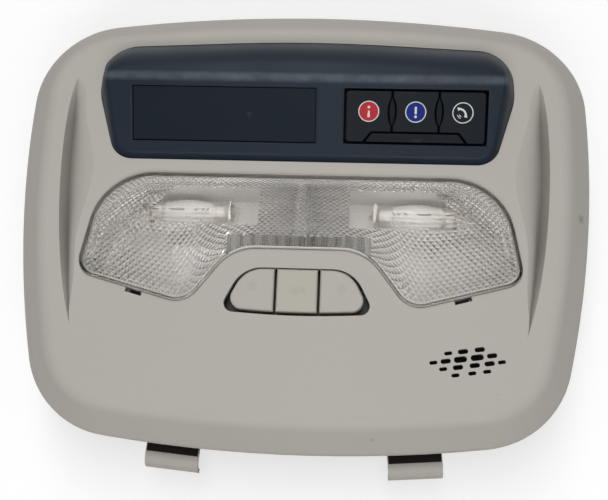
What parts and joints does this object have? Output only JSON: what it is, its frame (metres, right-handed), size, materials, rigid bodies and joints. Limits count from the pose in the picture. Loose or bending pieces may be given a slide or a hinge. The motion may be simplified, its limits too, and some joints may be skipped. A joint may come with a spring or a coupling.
{
  "type": "car dome light",
  "caption": "Vehicle roof console with map lamps under a clear prismatic lens, sprung lamp keys, call buttons on a tilted dark insert, microphone slots and hook tongues.",
  "frame": {"origin": "middle of the bezel's flat back rim, which bears on the roof lining", "axes": "+X along the width, +Y towards the edge with the dark insert, +Z out of the visible face"},
  "size_m": [0.222, 0.1836, 0.0549],
  "materials": {
    "bezel_plastic": "fine-grained warm light grey moulding",
    "insert_plastic": "satin slate moulding",
    "button_plastic": "satin dark moulding with printed discs",
    "key_plastic": "satin light grey moulding with worn symbols",
    "lens": "clear moulding with diagonal prisms on its inside",
    "indicator": "smoked light guide",
    "white_plastic": "white reflecting moulding",
    "black_plastic": "black moulding",
    "board": "green printed board",
    "diode": "light diode",
    "brass": "stamped brass strip",
    "steel": "bright zinc-plated steel",
    "rubber": "soft black rubber",
    "bulb": "clear glass with bright metal caps"
  },
  "bodies": {
    "console": {"bezel": "bezel_plastic", "insert_panel": "insert_plastic", "blank_cover": "insert_plastic", "button_frame": "black_plastic", "indicator_bar": "indicator", "call_board": "board", "call_switches": "black_plastic", "status_diode": "diode", "lens": "lens", "lamp_housing": "white_plastic", "bus_bars": "brass", "key_housing": "black_plastic", "switch_board": "board", "lamp_switches": "black_plastic", "microphone_boot": "rubber", "microphone": "steel", "rear_cover": "black_plastic", "connector": "white_plastic", "connector_pins": "steel", "inner_screws": "steel", "cover_screws": "steel", "left_key_spring": "steel", "centre_key_spring": "steel", "right_key_spring": "steel", "left_bulb": "bulb", "right_bulb": "bulb", "left_bulb_contacts": "brass", "right_bulb_contacts": "brass", "left_spring_clip": "steel", "right_spring_clip": "steel"},
    "left_key": {"left_lamp_key": "key_plastic"},
    "centre_key": {"centre_lamp_key": "key_plastic"},
    "right_key": {"right_lamp_key": "key_plastic"},
    "emergency_call": {"emergency_button": "button_plastic"},
    "info_call": {"info_button": "button_plastic"},
    "phone_call": {"phone_button": "button_plastic"}
  },
  "joints": [
    {"name": "left_key_press", "type": "slide", "parent": "console", "child": "left_key", "axis": [0, 0, -1], "range_m": [0, 0.002], "stiffness_N_per_m": 600, "springref_m": -0.001, "deforming": ["left_key_spring"]},
    {"name": "centre_key_press", "type": "slide", "parent": "console", "child": "centre_key", "axis": [0, 0, -1], "range_m": [0, 0.002], "stiffness_N_per_m": 600, "springref_m": -0.001, "deforming": ["centre_key_spring"]},
    {"name": "right_key_press", "type": "slide", "parent": "console", "child": "right_key", "axis": [0, 0, -1], "range_m": [0, 0.002], "stiffness_N_per_m": 600, "springref_m": -0.001, "deforming": ["right_key_spring"]},
    {"name": "emergency_button_press", "type": "slide", "parent": "console", "child": "emergency_call", "axis": [0, 0.3746, -0.9272], "range_m": [0, 0.0008], "stiffness_N_per_m": 1500, "springref_m": -0.0003},
    {"name": "info_button_press", "type": "slide", "parent": "console", "child": "info_call", "axis": [0, 0.3746, -0.9272], "range_m": [0, 0.0008], "stiffness_N_per_m": 1500, "springref_m": -0.0003},
    {"name": "phone_button_press", "type": "slide", "parent": "console", "child": "phone_call", "axis": [0, 0.3746, -0.9272], "range_m": [0, 0.0008], "stiffness_N_per_m": 1500, "springref_m": -0.0003}
  ]
}
